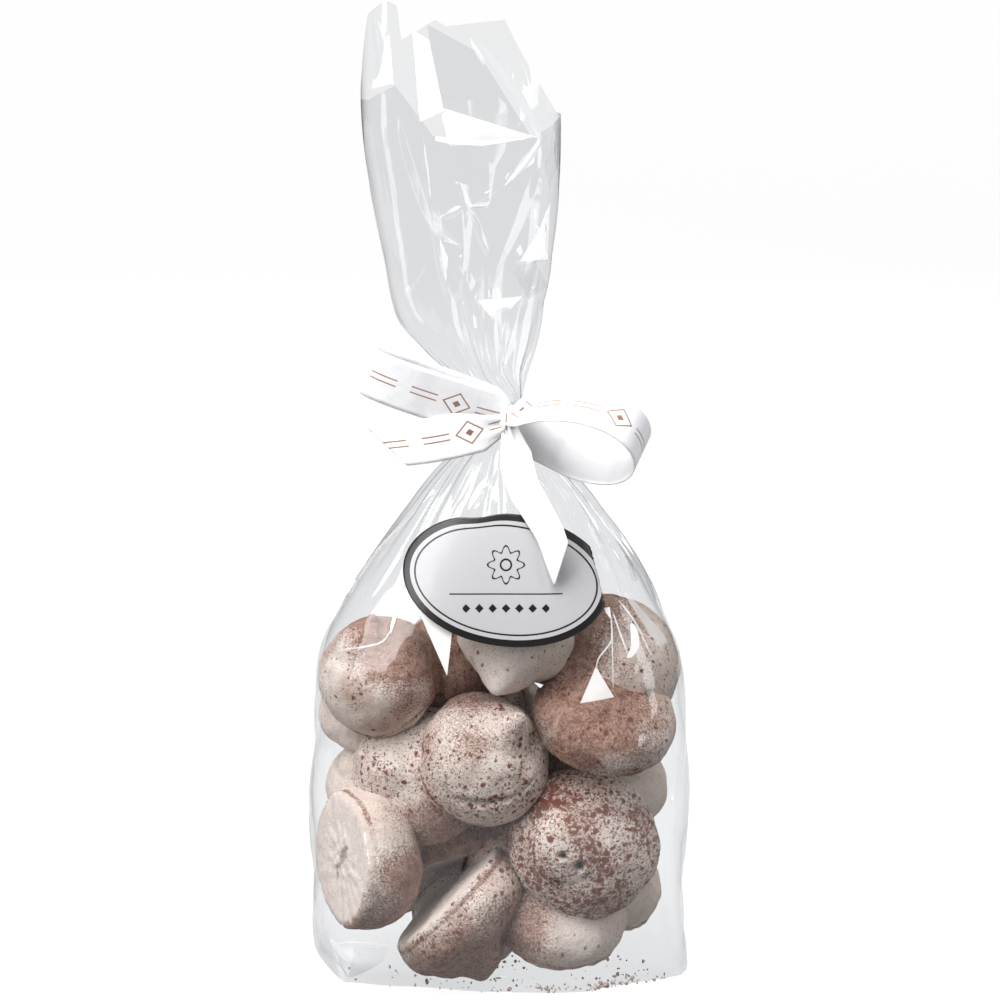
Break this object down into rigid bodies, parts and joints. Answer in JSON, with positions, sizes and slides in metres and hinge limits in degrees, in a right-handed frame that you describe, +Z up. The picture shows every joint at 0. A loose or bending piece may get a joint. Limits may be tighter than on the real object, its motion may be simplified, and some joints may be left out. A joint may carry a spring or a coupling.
{
  "type": "bag of meringues",
  "caption": "Clear film gift bag filled with cocoa-dusted meringues, standing on its flat base, gathered and tied at the neck with a satin bow, with an oval label on the front.",
  "frame": {"origin": "on the table under the middle of the bag's box", "axes": "+Z up, the label and the bow face -Y, +X is to the right seen from the front"},
  "size_m": [0.1173, 0.0707, 0.3015],
  "materials": {
    "film": "clear glossy packing film, creased; as a solid it takes the pale colour of the film with the meringues behind it",
    "satin": "white satin ribbon with a small rose-gold print",
    "paper": "smooth coated paper, off-white with a black border"
  },
  "bodies": {
    "root": {"bag": "film", "ribbon": "satin", "label": "paper"}
  },
  "joints": []
}
